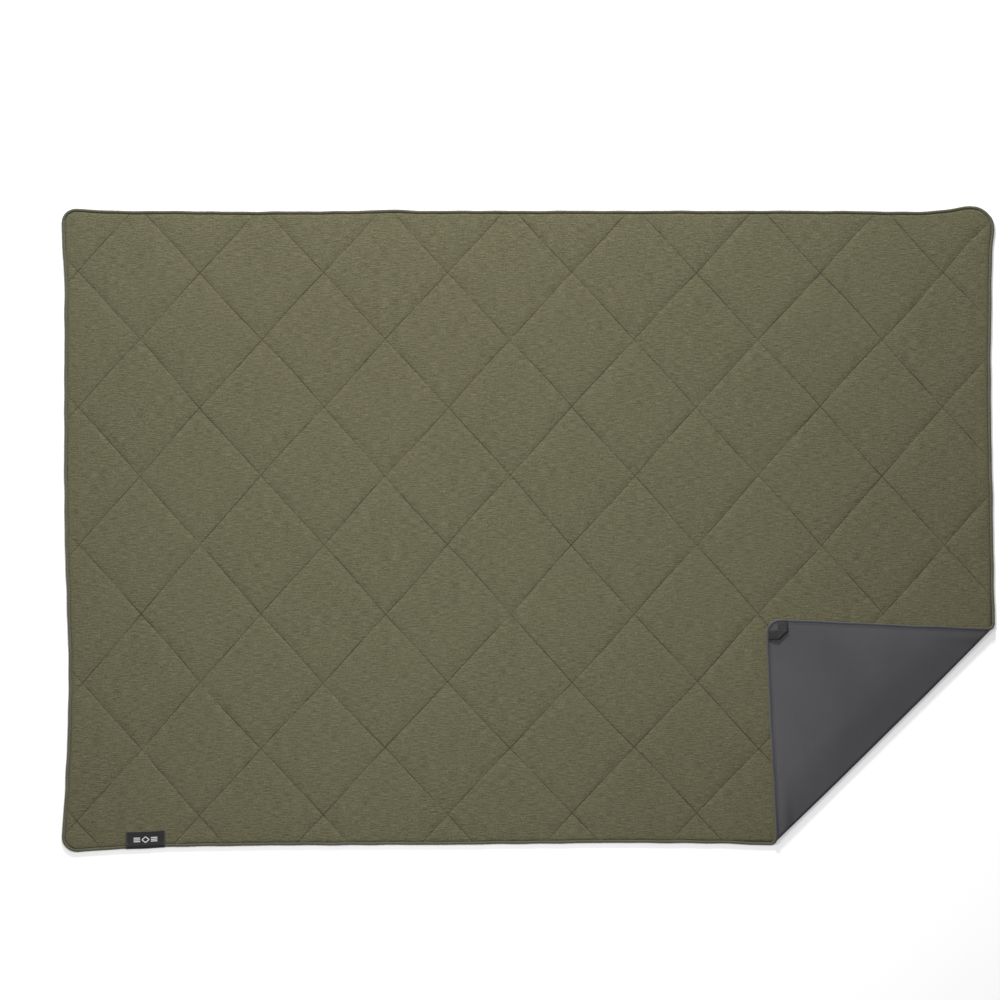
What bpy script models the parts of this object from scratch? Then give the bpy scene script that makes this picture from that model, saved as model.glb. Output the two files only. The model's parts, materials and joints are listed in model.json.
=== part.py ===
"""Camp blanket with one corner folded back, as an assembly of its sewn layers.

The blanket lies on the floor with its length along X and its width along Y. From the floor up it is a
coated waterproof backing, a thin lining that the quilting is sewn to, insulation and a woven cover.
The layers meet in one seam all round, which also holds a piped edge. Each corner has a webbing stake
loop on the backing side. The front right corner is folded over onto the cover.

Every layer is modelled once, as if the blanket lay open, and two objects share its mesh: one keeps the
side of the fold that lies on the floor, the other keeps the corner and hangs from the fold's axis.
"""
import math

import bmesh
import bpy
import numpy as np
from mathutils import Matrix, Vector

# Overall, over the piping
LENGTH = 1.9812
WIDTH = 1.397
CORNER_RADIUS = 0.033
CORNER_STEPS = 6

# Thickness of each layer, and the clearance that touching pieces keep
COVER = 0.0008
BATTING = 0.0055
LINING = 0.0004
BACKING = 0.0006
GAP = 0.0003

# Piped edge: a cord in a folded strip, whose two edges lie together as a flange in the seam
PIPING_DIAMETER = 0.0075
SLEEVE_WALL = 0.0006
FLANGE_LENGTH = 0.010
SLEEVE_SIDES = 15
CORD_SIDES = 10

# Borders over which the layers come together towards the seam
COVER_BORDER = 0.060
COVER_BORDER_STEPS = 5
BACKING_BORDER = 0.150

# Folded corner: where the fold's axis meets each edge, and how far each side stops short of it
FOLD_LEG = 0.485
FOLD_CLEARANCE = 0.0005

# Stake loops: a strip of webbing turned through a right angle by one diagonal fold
WEBBING_WIDTH = 0.021
WEBBING = 0.0011
LOOP_LEG_FROM_CORNER = 0.036
LOOP_ARCH = 0.0056

# Tag on the front edge, near the left corner: how far it wraps over the piping, and where it leaves
# the piping to bridge the seam's groove
LABEL_WIDTH = 0.080
LABEL_DEPTH = 0.037
LABEL = 0.0008
LABEL_FROM_SIDE = 0.180
LABEL_BRIDGE = 0.0045
LABEL_WRAP_START = math.radians(135)
LABEL_WRAP_END = math.radians(65)
LABEL_STEPS = 4

# Heights of the layers where they lie flat, from the floor up
backing_top = BACKING
lining_bottom = backing_top + GAP
lining_top = lining_bottom + LINING
batting_bottom = lining_top + GAP
batting_top = batting_bottom + BATTING
cover_bottom = batting_top + GAP
cover_top = cover_bottom + COVER

# Heights at the seam, where the cover and backing close on the two leaves of the flange
seam_z = PIPING_DIAMETER / 2
flange_half = SLEEVE_WALL + GAP / 2
cover_top_at_seam = seam_z + flange_half + GAP + COVER
backing_top_at_seam = seam_z - flange_half - GAP

# Distances inwards from the outline
seam_inset = PIPING_DIAMETER + GAP
filling_inset = PIPING_DIAMETER + FLANGE_LENGTH + GAP

# The fold's axis runs at 45 degrees across the front right corner, midway between the two layers
fold_z = max(cover_top, PIPING_DIAMETER) + GAP / 2
fold_across = Vector((-1, 1, 0)).normalized()
fold_along = Vector((1, 1, 0)).normalized()
fold_point = Vector((LENGTH / 2 - FOLD_LEG / 2, -WIDTH / 2 + FOLD_LEG / 2, fold_z))


def material(name, colour, roughness, metallic=0.0):
    """A plain Principled finish."""
    made = bpy.data.materials.new(name)
    made.use_nodes = True
    shader = made.node_tree.nodes["Principled BSDF"]
    shader.inputs["Base Color"].default_value = (*colour, 1.0)
    shader.inputs["Roughness"].default_value = roughness
    shader.inputs["Metallic"].default_value = metallic
    made.diffuse_color = (*colour, 1.0)
    return made


def add_object(name, mesh, finish, collection):
    """A new object in a collection, with its finish in the object's own slot."""
    piece = bpy.data.objects.new(name, mesh)
    if not mesh.materials:
        mesh.materials.append(None)
    piece.material_slots[0].link = "OBJECT"
    piece.material_slots[0].material = finish
    collection.objects.link(piece)
    return piece


def outline(inset):
    """Points round the blanket's rounded rectangle, moved in from its edge by a distance."""
    radius = max(CORNER_RADIUS - inset, 0.0)
    reach_x = LENGTH / 2 - inset - radius
    reach_y = WIDTH / 2 - inset - radius
    points = []
    for quarter, (sign_x, sign_y) in enumerate(((1, 1), (-1, 1), (-1, -1), (1, -1))):
        for step in range(CORNER_STEPS + 1):
            angle = (quarter + step / CORNER_STEPS) * math.pi / 2
            x = sign_x * reach_x + radius * math.cos(angle)
            y = sign_y * reach_y + radius * math.sin(angle)
            points.append((x, y))
    return points


def loft(name, rings, close_bottom=False):
    """Skin over rounded rectangles given as (inset, height), with the last one filled.

    Past the corner radius a ring's corners are sharp, so its doubled points are merged.
    """
    skin = bmesh.new()
    loops = [[skin.verts.new((x, y, z)) for x, y in outline(inset)] for inset, z in rings]
    for lower, upper in zip(loops, loops[1:]):
        for i in range(len(lower)):
            j = (i + 1) % len(lower)
            skin.faces.new((lower[i], lower[j], upper[j], upper[i]))
    skin.faces.new(loops[-1])
    if close_bottom:
        skin.faces.new(reversed(loops[0]))
    bmesh.ops.remove_doubles(skin, verts=skin.verts, dist=GAP / 10)
    bmesh.ops.dissolve_degenerate(skin, edges=skin.edges, dist=GAP / 10)
    mesh = bpy.data.meshes.new(name)
    skin.to_mesh(mesh)
    skin.free()
    return mesh


def cover_height(inset):
    """Top of the cover: it rises quickly from the seam and then flattens, like any padded edge."""
    share = min((inset - seam_inset) / (COVER_BORDER - seam_inset), 1.0)
    return cover_top_at_seam + (cover_top - cover_top_at_seam) * math.sin(share * math.pi / 2)


def backing_height(inset):
    """Upper side of the backing: it slopes evenly from the seam to the floor."""
    share = min((inset - seam_inset) / (BACKING_BORDER - seam_inset), 1.0)
    return backing_top_at_seam + (backing_top - backing_top_at_seam) * share


def cover_rings(start, below=0.0):
    """Rings from an inset to the cover's flat middle, a distance below its top."""
    insets = np.linspace(start, COVER_BORDER, COVER_BORDER_STEPS + 1)
    return [(inset, cover_height(inset) - below) for inset in insets]


def backing_rings(start, above=0.0):
    """Rings from an inset to the backing's flat middle, a distance above its upper side."""
    return [(inset, backing_height(inset) + above) for inset in (start, BACKING_BORDER)]


def add_thickness(piece, thickness, offset):
    """Thickness below the modelled surface with an offset of -1, or on both sides of it with 0."""
    solidify = piece.modifiers.new("thickness", "SOLIDIFY")
    solidify.thickness = thickness
    solidify.offset = offset
    solidify.use_even_offset = True


def sweep_round(name, profile):
    """Mesh of a closed profile swept round the outline, at the middle of the piping.

    The profile's first number is measured inwards from the piping's middle, its second upwards.
    """
    section_curve = bpy.data.curves.new(name + "_section", "CURVE")
    section_curve.dimensions = "2D"
    section_curve.fill_mode = "NONE"
    section = section_curve.splines.new("POLY")
    section.points.add(len(profile) - 1)
    for point, (inwards, upwards) in zip(section.points, profile):
        point.co = (-inwards, upwards, 0.0, 1.0)
    section.use_cyclic_u = True
    section_object = bpy.data.objects.new(name + "_section", section_curve)
    guides.objects.link(section_object)

    path_curve = bpy.data.curves.new(name + "_path", "CURVE")
    path_curve.dimensions = "3D"
    path_curve.twist_mode = "Z_UP"
    path_curve.bevel_mode = "OBJECT"
    path_curve.bevel_object = section_object
    path = path_curve.splines.new("POLY")
    route = outline(PIPING_DIAMETER / 2)
    path.points.add(len(route) - 1)
    for point, (x, y) in zip(path.points, route):
        point.co = (x, y, seam_z, 1.0)
    path.use_cyclic_u = True
    path_object = bpy.data.objects.new(name + "_path", path_curve)
    guides.objects.link(path_object)

    depsgraph = bpy.context.evaluated_depsgraph_get()
    mesh = bpy.data.meshes.new_from_object(path_object.evaluated_get(depsgraph))
    mesh.name = name
    bpy.data.objects.remove(path_object)
    bpy.data.objects.remove(section_object)
    skin = bmesh.new()
    skin.from_mesh(mesh)
    bmesh.ops.remove_doubles(skin, verts=skin.verts, dist=GAP / 10)
    bmesh.ops.recalc_face_normals(skin, faces=skin.faces)
    skin.to_mesh(mesh)
    skin.free()
    mesh.materials.clear()
    return mesh


def circle_profile(radius, sides):
    """Points of a circle with a flat side down."""
    angles = [(step + 0.5) * math.tau / sides - math.pi / 2 for step in range(sides)]
    return [(radius * math.cos(a), radius * math.sin(a)) for a in angles]


def sleeve_profile():
    """A strip folded round the cord: out along one leaf, round, back along the other, and inside."""
    outer = PIPING_DIAMETER / 2
    inner = outer - SLEEVE_WALL
    mouth_out = math.asin(flange_half / outer)
    mouth_in = math.asin(GAP / 2 / inner)
    tip = outer + FLANGE_LENGTH
    profile = [(tip, flange_half)]
    for angle in np.linspace(mouth_out, math.tau - mouth_out, SLEEVE_SIDES):
        profile.append((outer * math.cos(angle), outer * math.sin(angle)))
    profile += [(tip, -flange_half), (tip, -GAP / 2)]
    for angle in np.linspace(math.tau - mouth_in, mouth_in, SLEEVE_SIDES):
        profile.append((inner * math.cos(angle), inner * math.sin(angle)))
    profile.append((tip, GAP / 2))
    return profile


def fold_cutter(name, side):
    """A block that covers everything on the corner's side of the fold, up to the clearance.

    A side of -1 reaches in past the axis, to cut the floor side; +1 stops short, to keep the corner.
    """
    size = 2 * FOLD_LEG
    bpy.ops.mesh.primitive_cube_add(size=size)
    block = bpy.context.object
    block.name = name
    block.rotation_euler.z = math.pi / 4
    block.location = fold_point - fold_across * (size / 2 + side * FOLD_CLEARANCE)
    block.hide_render = True
    block.display_type = "WIRE"
    for holder in list(block.users_collection):
        holder.objects.unlink(block)
    guides.objects.link(block)
    return block


def cut_at_fold(piece, cutter, operation):
    """Keep one side of the fold."""
    boolean = piece.modifiers.new("fold", "BOOLEAN")
    boolean.operation = operation
    boolean.solver = "EXACT"
    boolean.object = cutter


def hang_from(piece, axis, open_place):
    """Parent a piece modelled in the open blanket to an axis that has been turned."""
    piece.parent = axis
    piece.matrix_parent_inverse = open_place.inverted()


def add_layer(name, mesh, finish, thickness=None):
    """The two objects of one layer: what lies on the floor, and what turns with the corner."""
    floor_side = add_object(name, mesh, finish, blanket)
    corner_side = add_object(name + "_corner", mesh, finish, blanket)
    for piece in (floor_side, corner_side):
        if thickness:
            add_thickness(piece, thickness, -1.0)
    cut_at_fold(floor_side, floor_cutter, "DIFFERENCE")
    cut_at_fold(corner_side, corner_cutter, "INTERSECT")
    hang_from(corner_side, fold_axis, fold_open)


def piping_inside(along):
    """Distance in from one edge to the piping's inner side, at a distance along from the corner."""
    short_of_straight = max(CORNER_RADIUS - along, 0.0)
    inner_radius = CORNER_RADIUS - PIPING_DIAMETER
    return CORNER_RADIUS - math.sqrt(inner_radius ** 2 - short_of_straight ** 2)


def loop_mesh(name, rise):
    """Webbing from one edge, over a diagonal fold, to the other edge, seen from the backing side.

    Local X runs along the hinge through the two sewn ends, Y inwards and Z away from the backing.
    """
    near, far, end = loop_near, loop_far, loop_end
    corners = {
        "a_near": (near, end, 0), "a_far": (far, end, 0),
        "b_near": (end, near, 0), "b_far": (end, far, 0),
        "inner": (near, near, rise), "a_fold": (far, near, rise), "b_fold": (near, far, rise),
    }
    strip = bmesh.new()
    root_half = math.sqrt(0.5)
    verts = {}
    for key, (u, v, z) in corners.items():
        verts[key] = strip.verts.new(((u - v) * root_half, (u + v) * root_half - loop_axis_in, z))
    strip.faces.new([verts[k] for k in ("a_near", "a_far", "a_fold", "inner")])
    strip.faces.new([verts[k] for k in ("b_near", "inner", "b_fold", "b_far")])
    strip.faces.new([verts[k] for k in ("inner", "a_fold", "b_fold")])
    mesh = bpy.data.meshes.new(name)
    strip.to_mesh(mesh)
    strip.free()
    return mesh


def add_loop(name, sign_x, sign_y, rise):
    """One stake loop under its corner, with its origin on the hinge through its sewn ends."""
    piece = add_object(name, loop_mesh(name, rise), black_webbing, blanket)
    add_thickness(piece, WEBBING, 0.0)
    inwards = Vector((-sign_x, -sign_y, 0)).normalized()
    down = Vector((0, 0, -1))
    along = inwards.cross(down)
    corner = Vector((sign_x * LENGTH / 2, sign_y * WIDTH / 2, loop_axis_z))
    place = Matrix((along, inwards, down)).transposed().to_4x4()
    place.translation = corner + inwards * loop_axis_in
    piece.matrix_world = place
    return piece


def label_mesh(name):
    """A tag that bends over the piping and lies on the cover, as a strip before its thickness."""
    lift = GAP + LABEL / 2
    over = PIPING_DIAMETER / 2 + lift
    section = []
    for angle in np.linspace(LABEL_WRAP_START, LABEL_WRAP_END, LABEL_STEPS + 1):
        section.append((PIPING_DIAMETER / 2 + over * math.cos(angle), seam_z + over * math.sin(angle)))
    for inset in np.linspace(seam_inset + LABEL_BRIDGE, LABEL_DEPTH, LABEL_STEPS):
        section.append((inset, cover_height(inset) + lift))
    left = -LENGTH / 2 + LABEL_FROM_SIDE - LABEL_WIDTH / 2
    strip = bmesh.new()
    rails = []
    for x in (left, left + LABEL_WIDTH):
        rails.append([strip.verts.new((x, -WIDTH / 2 + inset, z)) for inset, z in section])
    for i in range(len(section) - 1):
        strip.faces.new((rails[0][i], rails[1][i], rails[1][i + 1], rails[0][i + 1]))
    mesh = bpy.data.meshes.new(name)
    strip.to_mesh(mesh)
    strip.free()
    return mesh


for old in list(bpy.data.objects):
    bpy.data.objects.remove(old)

blanket = bpy.data.collections.new("camp_blanket")
guides = bpy.data.collections.new("guides")
bpy.context.scene.collection.children.link(blanket)
bpy.context.scene.collection.children.link(guides)

# Finishes
olive_cover = material("olive_cover", (0.150, 0.140, 0.085), 0.85)
olive_piping = material("olive_piping", (0.165, 0.155, 0.105), 0.80)
slate_backing = material("slate_backing", (0.075, 0.078, 0.085), 0.55)
black_webbing = material("black_webbing", (0.016, 0.016, 0.019), 0.75)
black_label = material("black_label", (0.012, 0.012, 0.013), 0.60)
white_batting = material("white_batting", (0.780, 0.780, 0.760), 0.95)
grey_lining = material("grey_lining", (0.420, 0.420, 0.410), 0.90)
white_cord = material("white_cord", (0.700, 0.690, 0.650), 0.90)

# The fold: an empty on its axis, turned half round from where the corner lies open
fold_open = Matrix.Translation(fold_point) @ Matrix.Rotation(math.pi / 4, 4, "Z")
fold_axis = bpy.data.objects.new("corner_fold_axis", None)
guides.objects.link(fold_axis)
fold_axis.matrix_world = fold_open @ Matrix.Rotation(math.pi, 4, "X")
floor_cutter = fold_cutter("floor_side_cutter", -1)
corner_cutter = fold_cutter("corner_side_cutter", 1)
bpy.context.view_layer.update()
hang_from(corner_cutter, fold_axis, fold_open)

# Top cover and backing: thin sheets that close on the flange of the piping
add_layer("top_cover", loft("top_cover", cover_rings(seam_inset)), olive_cover, COVER)
add_layer("backing", loft("backing", backing_rings(seam_inset)), slate_backing, BACKING)

# Lining and insulation: they stop inside the flange
lining_surface = backing_rings(filling_inset, above=lining_top - backing_top)
add_layer("quilt_lining", loft("quilt_lining", lining_surface), grey_lining, LINING)
batting_under = backing_rings(filling_inset, above=batting_bottom - backing_top)
batting_over = cover_rings(filling_inset, below=cover_top - batting_top)
batting_skin = loft("batting", batting_under[::-1] + batting_over, close_bottom=True)
add_layer("batting", batting_skin, white_batting)

# Piped edge
add_layer("piping_sleeve", sweep_round("piping_sleeve", sleeve_profile()), olive_piping)
cord_radius = PIPING_DIAMETER / 2 - SLEEVE_WALL - GAP
add_layer("piping_cord", sweep_round("piping_cord", circle_profile(cord_radius, CORD_SIDES)), white_cord)

# Stake loops: three lie pressed under their corners, along the backing's slope, and the folded
# corner's stands off the backing
loop_near = LOOP_LEG_FROM_CORNER - WEBBING_WIDTH / 2
loop_far = LOOP_LEG_FROM_CORNER + WEBBING_WIDTH / 2
loop_end = piping_inside(loop_near) + GAP
loop_axis_in = (loop_near + loop_end) * math.sqrt(0.5)
loop_axis_z = backing_height(loop_end) - BACKING - GAP - WEBBING / 2
loop_drop = backing_height(loop_end) - backing_height(loop_far)
add_loop("stake_loop_back_left", -1, 1, loop_drop)
add_loop("stake_loop_back_right", 1, 1, loop_drop)
add_loop("stake_loop_front_left", -1, -1, loop_drop)
corner_loop = add_loop("stake_loop_front_right", 1, -1, LOOP_ARCH)
bpy.context.view_layer.update()
hang_from(corner_loop, fold_axis, fold_open)

# Label
label = add_object("label", label_mesh("label"), black_label, blanket)
add_thickness(label, LABEL, 0.0)
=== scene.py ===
import json
import math

import bmesh
import bpy
import numpy as np
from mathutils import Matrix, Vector


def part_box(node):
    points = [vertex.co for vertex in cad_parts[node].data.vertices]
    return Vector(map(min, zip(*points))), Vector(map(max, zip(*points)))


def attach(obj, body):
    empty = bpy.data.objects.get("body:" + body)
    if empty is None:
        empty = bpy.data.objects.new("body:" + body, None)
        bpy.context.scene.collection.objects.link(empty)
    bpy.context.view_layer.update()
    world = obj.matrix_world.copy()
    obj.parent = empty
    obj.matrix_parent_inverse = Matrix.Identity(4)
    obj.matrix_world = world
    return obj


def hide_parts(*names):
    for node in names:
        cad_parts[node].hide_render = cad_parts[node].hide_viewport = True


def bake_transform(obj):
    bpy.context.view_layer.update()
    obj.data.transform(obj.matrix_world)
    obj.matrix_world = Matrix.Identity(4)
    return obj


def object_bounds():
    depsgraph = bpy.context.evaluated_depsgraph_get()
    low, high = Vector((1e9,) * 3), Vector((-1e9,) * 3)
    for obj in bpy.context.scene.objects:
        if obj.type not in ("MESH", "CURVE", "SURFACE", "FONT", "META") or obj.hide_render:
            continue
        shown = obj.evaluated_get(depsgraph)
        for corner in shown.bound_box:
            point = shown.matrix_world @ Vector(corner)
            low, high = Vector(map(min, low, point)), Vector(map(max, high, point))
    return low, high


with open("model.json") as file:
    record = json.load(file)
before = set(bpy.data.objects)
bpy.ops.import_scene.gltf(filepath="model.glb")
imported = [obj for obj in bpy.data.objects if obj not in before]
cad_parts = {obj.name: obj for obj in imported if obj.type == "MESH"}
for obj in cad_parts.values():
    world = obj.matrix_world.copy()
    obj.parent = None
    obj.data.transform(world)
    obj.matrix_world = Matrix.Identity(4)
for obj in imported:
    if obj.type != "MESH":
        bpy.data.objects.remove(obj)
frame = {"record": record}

low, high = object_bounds()
scene = bpy.context.scene
scene.view_settings.view_transform = "Standard"


# ---- Camera, floor and lights ----
# The camera looks down from far off, leaning a little towards the front edge, so that nothing converges.
# The floor is a pale sheet that glows a little. The key light stands low behind the back edge.
VIEW_WIDTH = 2.1231
VIEW_CENTRE = Vector((-0.058, 0.0627, 0.0))
CAMERA_DISTANCE = 60.0
CAMERA_TILT = math.radians(10.97)
SENSOR = 36.0
FLOOR_SIDE, FLOOR_DROP = 60.0, 0.0004
FLOOR_ALBEDO, FLOOR_GLOW = 0.92, 0.38
KEY_PLACE, KEY_SIDE, KEY_POWER = (-0.35, 3.2, 2.1), 0.9, 138
FILL_PLACE, FILL_SIDE, FILL_POWER = (-0.36, -0.5, 1.7), 0.7, 12.0
STUDIO_GLOW = 0.22

camera = bpy.data.objects.new("camera", bpy.data.cameras.new("camera"))
camera.data.sensor_width = SENSOR
camera.data.lens = SENSOR * CAMERA_DISTANCE / VIEW_WIDTH
camera.data.clip_end = 2 * CAMERA_DISTANCE
camera.location = VIEW_CENTRE + CAMERA_DISTANCE * Vector((0, -math.sin(CAMERA_TILT), math.cos(CAMERA_TILT)))
camera.rotation_euler = (CAMERA_TILT, 0, 0)
scene.collection.objects.link(camera)
scene.camera = camera


class Socket:
    """An output of a shader node; sums and products of such outputs add Math nodes."""

    def __init__(self, finish, socket):
        self.finish, self.socket = finish, socket

    def math(self, operation, first, second):
        return self.finish.add("ShaderNodeMath", {"operation": operation}, {0: first, 1: second})

    def __add__(self, other):
        return self.math("ADD", self, other)

    def __sub__(self, other):
        return self.math("SUBTRACT", self, other)

    def __rsub__(self, other):
        return self.math("SUBTRACT", other, self)

    def __mul__(self, other):
        return self.math("MULTIPLY", self, other)

    __radd__ = __add__
    __rmul__ = __mul__


class Finish:
    """A material with one Principled shader; constants go straight onto the shader's sockets."""

    def __init__(self, name, **constants):
        self.material = bpy.data.materials.new(name)
        self.material.use_nodes = True
        self.tree = self.material.node_tree
        self.shader = self.tree.nodes["Principled BSDF"]
        for key, value in constants.items():
            self.input(key).default_value = value

    def input(self, key):
        """The shader's own input for a name such as base_color."""
        return self.shader.inputs[key.replace("_", " ").title().replace("Ior", "IOR")]

    def add(self, kind, settings=None, inputs=None, output=0):
        """Adds a node, sets its settings and then its inputs, and gives the output asked for."""
        node = self.tree.nodes.new(kind)
        for key, value in (settings or {}).items():
            setattr(node, key, value)
        for key, value in (inputs or {}).items():
            if isinstance(value, Socket):
                self.tree.links.new(value.socket, node.inputs[key])
            else:
                node.inputs[key].default_value = value
        return Socket(self, node.outputs[output])

    def feed(self, **links):
        """Joins outputs to the shader's own inputs."""
        for key, value in links.items():
            self.tree.links.new(value.socket, self.input(key))

    def cloth(self, scale=(1, 1, 1), turn=0.0):
        """The piece's flat pattern, in metres, stretched by scale and turned."""
        flat = self.add("ShaderNodeUVMap", {"uv_map": "cloth"})
        return self.add("ShaderNodeMapping", {}, {"Vector": flat, "Rotation": (0, 0, turn), "Scale": scale})

    def noise(self, vector, scale, detail=2.0, roughness=0.5):
        return self.add("ShaderNodeTexNoise", {},
                        {"Vector": vector, "Scale": scale, "Detail": detail, "Roughness": roughness})

    def stretch(self, value, start, end, first, last):
        """value from start..end taken to first..last, held there outside."""
        return self.add("ShaderNodeMapRange", {},
                        {"Value": value, "From Min": start, "From Max": end, "To Min": first, "To Max": last})

    def mix(self, share, first, second):
        """Two colours mixed; the Mix node's colour sockets are its seventh and eighth."""
        return self.add("ShaderNodeMix", {"data_type": "RGBA"}, {0: share, 6: first, 7: second}, 2)

    def bump(self, height, distance, strength=1.0, normal=None):
        links = {"Height": height, "Distance": distance, "Strength": strength}
        if normal is not None:
            links["Normal"] = normal
        return self.add("ShaderNodeBump", {}, links)


def put(name, mesh, finish):
    """A mesh as an object at the origin, smooth, in one finish."""
    piece = bpy.data.objects.new(name, mesh)
    scene.collection.objects.link(piece)
    mesh.materials.clear()
    mesh.materials.append(finish.material)
    mesh.shade_smooth()
    return piece


floor_finish = Finish("floor", base_color=(FLOOR_ALBEDO, FLOOR_ALBEDO, FLOOR_ALBEDO, 1), roughness=0.9,
                      emission_color=(1, 1, 1, 1), emission_strength=FLOOR_GLOW)
floor_mesh = bpy.data.meshes.new("floor")
half_floor = FLOOR_SIDE / 2
floor_mesh.from_pydata([(-half_floor, -half_floor, -FLOOR_DROP), (half_floor, -half_floor, -FLOOR_DROP),
                        (half_floor, half_floor, -FLOOR_DROP), (-half_floor, half_floor, -FLOOR_DROP)],
                       [], [(0, 1, 2, 3)])
floor = put("floor", floor_mesh, floor_finish)


def light(name, place, side, power):
    """A square lamp aimed at the middle of the blanket."""
    lamp = bpy.data.objects.new(name, bpy.data.lights.new(name, "AREA"))
    lamp.data.shape, lamp.data.size, lamp.data.energy = "SQUARE", side, power
    lamp.location = place
    lamp.rotation_euler = (-Vector(place)).to_track_quat("-Z", "Y").to_euler()
    lamp.visible_camera = False
    scene.collection.objects.link(lamp)


light("key light", KEY_PLACE, KEY_SIDE, KEY_POWER)
light("fill light", FILL_PLACE, FILL_SIDE, FILL_POWER)
world = bpy.data.worlds.new("studio")
world.use_nodes = True
world.node_tree.nodes["Background"].inputs["Color"].default_value = (1, 1, 1, 1)
world.node_tree.nodes["Background"].inputs["Strength"].default_value = STUDIO_GLOW
scene.world = world


# ---- Backing ----
# One sheet of waterproof dark slate polyester under the whole blanket, coated to a satin face. It is sewn in
# with the cover all round, its rim rolled over the piping, and it wraps round the outside of the fold.
HALF_LENGTH, HALF_WIDTH = (high.x - low.x) / 2, (high.y - low.y) / 2
CORNER_RADIUS = 0.033
SEAM_INSET = 0.0078            # from the outer edge of the piping to the seam
PIPING_CENTRE, PIPING_LIFT, PIPING_RADIUS = 0.0037, 0.0041, 0.0031
ROLL_RADIUS = 0.0037           # the backing's rim, over the piping
BACKING_THICKNESS = 0.0005
SEAM_LIFT, SLOPE_END = 0.0021, 0.150
NOSE_REACH, NOSE_BACK, NOSE_LENGTH = 0.008, -0.005, 0.006
FOLD_SOFTNESS = 0.085          # how far from the fold the top starts to bend down
FOLD_SQUEEZE = 0.0044          # how much each layer is pressed together at the fold
SQUEEZE_START, SQUEEZE_WIDTH = 0.012, 0.03   # from the edges, which aren't pressed
# how far from the fold the painted shade on the backing reaches
FOLD_SHADE_REACH = 0.045
BACKING_STEP = 0.024

fold_joint = next(j for j in frame["record"]["behaviour"]["joints"] if j["name"] == "corner_fold")
FOLD_X, FOLD_Y, FOLD_Z = fold_joint["pos_m"]
FOLD_LINE = FOLD_X - FOLD_Y    # where x - y is more than this, the cloth is in the folded corner
ROOT2 = math.sqrt(2)


def ease(t):
    t = np.clip(t, 0, 1)
    return t * t * (3 - 2 * t)


def bell(value, middle, width):
    return np.exp(-((value - middle) / width) ** 2)


def sway(place, lengths, seed):
    """A smooth irregular wave between about -1 and 1, made of a few wavelengths."""
    phases = np.random.default_rng(seed).uniform(0, 2 * math.pi, len(lengths))
    waves = [np.sin(2 * math.pi * place / length + phase) for length, phase in zip(lengths, phases)]
    return sum(waves) / len(lengths)


def inset_of(x, y):
    """Distance inside the blanket's cut outline, before its corners are rounded."""
    return np.minimum(HALF_LENGTH - np.abs(x), HALF_WIDTH - np.abs(y))


def round_corners(x, y, outwards=0.0):
    """Flat cloth with its corners rounded, and moved outwards from its own corner centre."""
    middle_x = np.clip(x, CORNER_RADIUS - HALF_LENGTH, HALF_LENGTH - CORNER_RADIUS)
    middle_y = np.clip(y, CORNER_RADIUS - HALF_WIDTH, HALF_WIDTH - CORNER_RADIUS)
    u, v = x - middle_x, y - middle_y
    reach = np.maximum(np.hypot(u, v), 1e-9)
    wanted = np.maximum(np.abs(u), np.abs(v)) + outwards
    return middle_x + u / reach * wanted, middle_y + v / reach * wanted


def draw_in(x, y):
    """The sewn blanket's own shape: quilting has drawn its edges in, unevenly, and a corner flares."""
    left = 0.0065 * ease((0.66 - y) / 0.15) + 0.011 * bell(y, -0.33, 0.24) - 0.004 * ease((-0.55 - y) / 0.12)
    right = 0.0052 * bell(y, 0.31, 0.26) - 0.0155 * ease((-0.215 - y) / 0.55) * 1.2
    back = (0.0090 * ease((x + 1.06) / 0.2) * ease((0.985 - x) / 0.16)
            + 0.0018 * bell(x, -0.58, 0.17) + 0.0022 * bell(x, 0.80, 0.1) - 0.0022 * bell(x, -0.29, 0.05))
    front = 0.0155 * (1 - np.exp(-np.maximum(x + 0.955, 0) / 0.16)) + 0.0045 * bell(x, 0.22, 0.28)
    front = front * ease((0.99 - x) / 0.45)
    ripple = 0.0007
    left = left + ripple * sway(y, (0.11, 0.17, 0.071), 1)
    right = right + ripple * sway(y, (0.13, 0.19, 0.083), 2)
    back = back + ripple * sway(x, (0.12, 0.21, 0.067), 3)
    front = front + ripple * sway(x, (0.10, 0.23, 0.079), 4)
    fade = 0.42
    new_x = x + left * ease(1 - (x + HALF_LENGTH) / fade) - right * ease(1 - (HALF_LENGTH - x) / fade)
    new_y = y - back * ease(1 - (HALF_WIDTH - y) / fade) + front * ease(1 - (y + HALF_WIDTH) / fade)
    new_x = new_x + 0.0060 * bell(x, HALF_LENGTH, 0.06) * bell(y, 0.655, 0.035)
    new_y = new_y + 0.0040 * bell(x, 0.945, 0.03) * bell(y, HALF_WIDTH, 0.06)
    pinch = 0.0050 * bell(np.hypot(x - HALF_LENGTH, y - HALF_WIDTH), 0, 0.045)
    new_x, new_y = new_x - pinch, new_y - pinch
    inside = ease(inset_of(x, y) / 0.2)
    new_x = new_x + 0.0022 * inside * sway(y + 0.35 * x, (0.31, 0.47), 5)
    new_y = new_y + 0.0022 * inside * sway(x - 0.4 * y, (0.29, 0.53), 6)
    return new_x, new_y


def fold_distance(x, y):
    """How far a point of the open blanket lies beyond the fold; negative on the part that stays down."""
    return (x - y - FOLD_LINE) / ROOT2


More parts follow.
